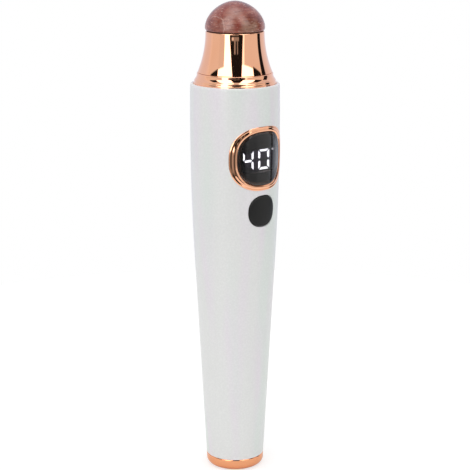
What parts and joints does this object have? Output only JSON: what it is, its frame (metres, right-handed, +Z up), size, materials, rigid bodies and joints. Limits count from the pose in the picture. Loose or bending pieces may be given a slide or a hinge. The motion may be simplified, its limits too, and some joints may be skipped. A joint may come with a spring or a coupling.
{
  "type": "heated eye massager wand",
  "caption": "Tapered round handle with a display and one button, a bright flared collar and a warmed, vibrating stone dome for massaging round the eyes.",
  "frame": {"origin": "centre of the flat foot, on the surface that the wand stands on", "axes": "+Z up the wand to the stone, -Y out of the display and the button"},
  "size_m": [0.026, 0.0263, 0.1398],
  "materials": {
    "pearl_shell": "white pearlescent lacquer with a faint green and pink flop and a fine sparkle",
    "rose_gold": "mirror-bright rose gold plating",
    "stone": "polished red-brown stone with grey-pink streaks",
    "smoked_lens": "smoked, glossy, slightly domed window",
    "lit_segment": "lit white bars",
    "dark_segment": "unlit bars",
    "display_black": "matt black resin face",
    "button_black": "black satin soft-touch plastic",
    "black_rubber": "matt black silicone or foam",
    "grey_plastic": "moulded dark grey plastic",
    "white_plastic": "moulded natural white plastic",
    "steel": "bright steel",
    "weight_metal": "sintered heavy metal",
    "magnet": "sintered magnet with a nickel skin",
    "copper_winding": "enamelled copper winding",
    "socket_black": "black moulded tongue",
    "board_green": "green solder mask",
    "chip_black": "black moulded chip",
    "small_parts": "tan ceramic chips",
    "switch_black": "black moulded switch body",
    "plunger_red": "red moulded plunger",
    "battery_wrap": "steel-cased cell in a blue shrink sleeve",
    "spreader": "plain rolled aluminium",
    "heater": "amber polyimide film with an etched track",
    "insulation": "pressed fibre pad",
    "thermistor": "glass bead",
    "wire_red": "red insulated wire",
    "wire_black": "black insulated wire",
    "wire_yellow": "yellow insulated wire",
    "wire_blue": "blue insulated wire"
  },
  "bodies": {
    "handle": {"handle_shell": "pearl_shell", "end_cap": "rose_gold", "usb_socket": "steel", "usb_tongue": "socket_black", "charge_board": "board_green", "charge_chip": "chip_black", "battery_holder": "grey_plastic", "battery_cell": "battery_wrap", "battery_pads": "black_rubber", "battery_lead_red": "wire_red", "battery_lead_black": "wire_black", "charge_lead_red": "wire_red", "charge_lead_black": "wire_black", "board_carrier": "white_plastic", "main_board": "board_green", "board_screws": "steel", "control_chip": "chip_black", "board_chips": "small_parts", "led_module": "display_black", "lit_segments": "lit_segment", "dark_segments": "dark_segment", "degree_mark": "lit_segment", "light_gasket": "black_rubber", "display_lens": "smoked_lens", "display_bezel": "rose_gold", "switch_body": "switch_black", "switch_dome": "steel", "head_core": "white_plastic", "head_screws": "steel", "trim_ring": "rose_gold", "collar": "rose_gold", "stone_gasket": "black_rubber", "stone_head": "stone", "heat_spreader": "spreader", "heater_film": "heater", "insulation_pad": "insulation", "thermistor": "thermistor", "thermistor_leads": "wire_yellow", "heater_leads": "wire_red", "motor_sleeve": "black_rubber", "motor_can": "steel", "motor_cap": "white_plastic", "motor_magnet": "magnet", "motor_leads": "wire_blue"},
    "button": {"button_cap": "button_black"},
    "plunger": {"switch_plunger": "plunger_red"},
    "motor_rotor": {"motor_shaft": "steel", "motor_coil": "copper_winding", "eccentric_weight": "weight_metal"}
  },
  "joints": [
    {"name": "button_press", "type": "slide", "parent": "handle", "child": "button", "axis": [0, 1, 0], "range_m": [0, 0.0003], "stiffness_N_per_m": 1500},
    {"name": "plunger_slide", "type": "slide", "parent": "handle", "child": "plunger", "axis": [0, 1, 0], "range_m": [0, 0.0003]},
    {"name": "rotor_spin", "type": "hinge", "parent": "handle", "child": "motor_rotor", "pos_m": [0, 0, 0.1165], "axis": [0, 0, 1], "continuous": true}
  ],
  "couplings": [
    {"joint": "plunger_slide", "follows": "button_press", "ratio": 1}
  ]
}
